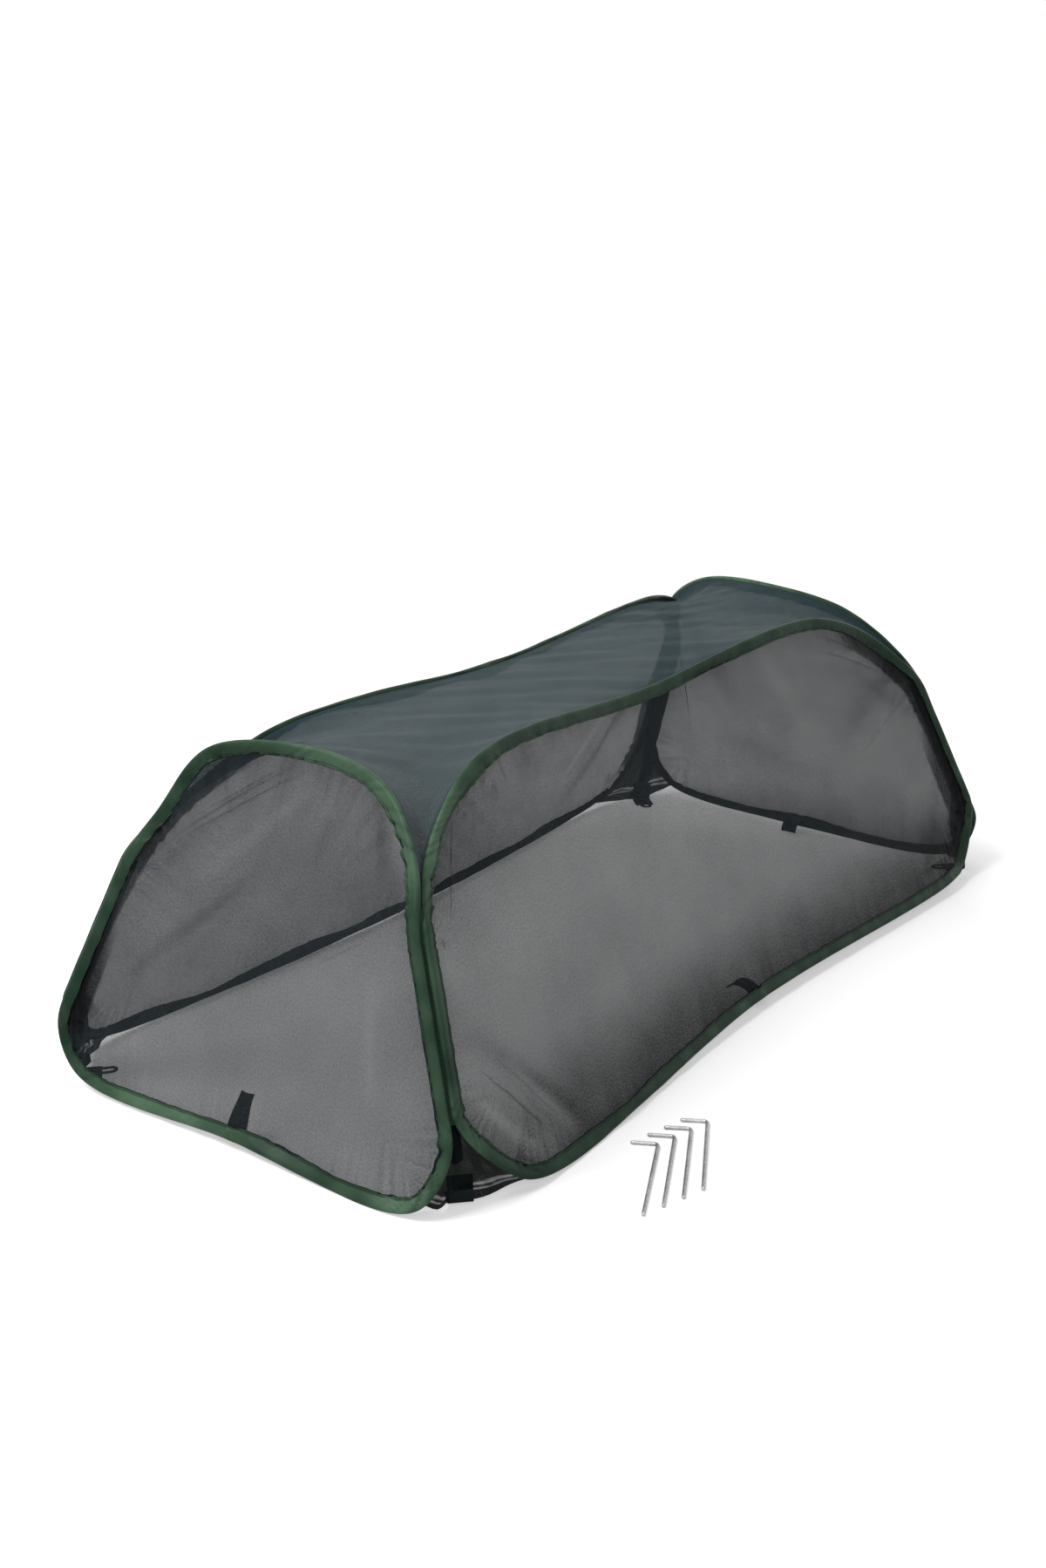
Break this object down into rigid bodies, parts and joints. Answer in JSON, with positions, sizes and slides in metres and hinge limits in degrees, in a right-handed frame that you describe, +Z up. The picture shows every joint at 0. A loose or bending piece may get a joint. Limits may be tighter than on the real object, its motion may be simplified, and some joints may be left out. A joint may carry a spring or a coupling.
{
  "type": "insect net row cover",
  "caption": "Pop-up garden cover: sprung hoops in green sleeves hold fine insect net over a bed, with ground pegs.",
  "frame": {"origin": "bottom centre of the box round the cover and the pegs that lie in front of it", "axes": "+X along the cover's length, +Y from the long side with the pegs to the other, +Z up"},
  "size_m": [1.2156, 0.7246, 0.3717],
  "materials": {
    "green_satin_tape": "satin polyester tape",
    "fine_net": "fine woven mesh",
    "top_net": "fine woven mesh",
    "black_webbing": "woven webbing",
    "spring_steel": "drawn spring wire",
    "galvanised_steel": "galvanised"
  },
  "bodies": {
    "front": {"sleeve_front": "green_satin_tape", "spring_wire_front": "spring_steel", "ferrule_front": "galvanised_steel", "net_front": "fine_net", "net_top": "top_net", "corner_seam_near_left": "black_webbing", "gusset_near_left": "fine_net", "corner_patch_near_left": "black_webbing", "peg_loop_near_left": "black_webbing", "corner_seam_near_right": "black_webbing", "gusset_near_right": "fine_net", "corner_patch_near_right": "black_webbing", "peg_loop_near_right": "black_webbing"},
    "left": {"sleeve_left": "green_satin_tape", "spring_wire_left": "spring_steel", "ferrule_left": "galvanised_steel", "net_left": "fine_net", "corner_seam_far_left": "black_webbing", "gusset_far_left": "fine_net", "corner_patch_far_left": "black_webbing", "peg_loop_far_left": "black_webbing"},
    "back": {"sleeve_back": "green_satin_tape", "spring_wire_back": "spring_steel", "ferrule_back": "galvanised_steel", "net_back": "fine_net"},
    "right": {"sleeve_right": "green_satin_tape", "spring_wire_right": "spring_steel", "ferrule_right": "galvanised_steel", "net_right": "fine_net", "corner_seam_far_right": "black_webbing", "gusset_far_right": "fine_net", "corner_patch_far_right": "black_webbing", "peg_loop_far_right": "black_webbing"},
    "tab_front": {"tab_front": "black_webbing"},
    "tab_left": {"tab_left": "black_webbing"},
    "tab_back": {"tab_back": "black_webbing"},
    "tab_right": {"tab_right": "black_webbing"},
    "peg_1": {"ground_peg_1": "galvanised_steel"},
    "peg_2": {"ground_peg_2": "galvanised_steel"},
    "peg_3": {"ground_peg_3": "galvanised_steel"},
    "peg_4": {"ground_peg_4": "galvanised_steel"}
  },
  "joints": [
    {"name": "rack_back_side", "type": "slide", "parent": "front", "child": "back", "axis": [1, 0, 0], "range_m": [0, 0.083], "stiffness_N_per_m": 60, "deforming": ["net_top", "gusset_far_left", "gusset_far_right", "corner_seam_far_left", "corner_seam_far_right"]},
    {"name": "rack_left_end", "type": "hinge", "parent": "front", "child": "left", "pos_m": [-0.54128, -0.12094, 0.26], "axis": [0, 0, 1], "range_deg": [-10.65, 0], "deforming": ["gusset_near_left"]},
    {"name": "rack_right_end", "type": "hinge", "parent": "front", "child": "right", "pos_m": [0.58272, -0.18619, 0.09], "axis": [0, 0, 1], "range_deg": [-10.65, 0], "deforming": ["gusset_near_right"]},
    {"name": "flex_tab_front", "type": "hinge", "parent": "front", "child": "tab_front", "pos_m": [0, -0.19157, 0.01514], "axis": [-1, 0, 0], "range_deg": [0, 50], "stiffness_Nm_per_rad": 0.02},
    {"name": "flex_tab_back", "type": "hinge", "parent": "back", "child": "tab_back", "pos_m": [0, 0.32915, 0.01514], "axis": [1, 0, 0], "range_deg": [0, 50], "stiffness_Nm_per_rad": 0.02},
    {"name": "flex_tab_left", "type": "hinge", "parent": "left", "child": "tab_left", "pos_m": [-0.59183, 0.06879, 0.01968], "axis": [0, 1, 0], "range_deg": [0, 50], "stiffness_Nm_per_rad": 0.02},
    {"name": "flex_tab_right", "type": "hinge", "parent": "right", "child": "tab_right", "pos_m": [0.59183, 0.06879, 0.01968], "axis": [0, -1, 0], "range_deg": [0, 50], "stiffness_Nm_per_rad": 0.02},
    {"name": "lift_peg_1", "type": "slide", "parent": "front", "child": "peg_1", "axis": [0, 0, 1], "range_m": [0, 0.15]},
    {"name": "lift_peg_2", "type": "slide", "parent": "front", "child": "peg_2", "axis": [0, 0, 1], "range_m": [0, 0.15]},
    {"name": "lift_peg_3", "type": "slide", "parent": "front", "child": "peg_3", "axis": [0, 0, 1], "range_m": [0, 0.15]},
    {"name": "lift_peg_4", "type": "slide", "parent": "front", "child": "peg_4", "axis": [0, 0, 1], "range_m": [0, 0.15]}
  ],
  "couplings": [
    {"joint": "rack_left_end", "follows": "rack_back_side", "rad_per_m": -2.2395},
    {"joint": "rack_right_end", "follows": "rack_back_side", "rad_per_m": -2.2395}
  ]
}
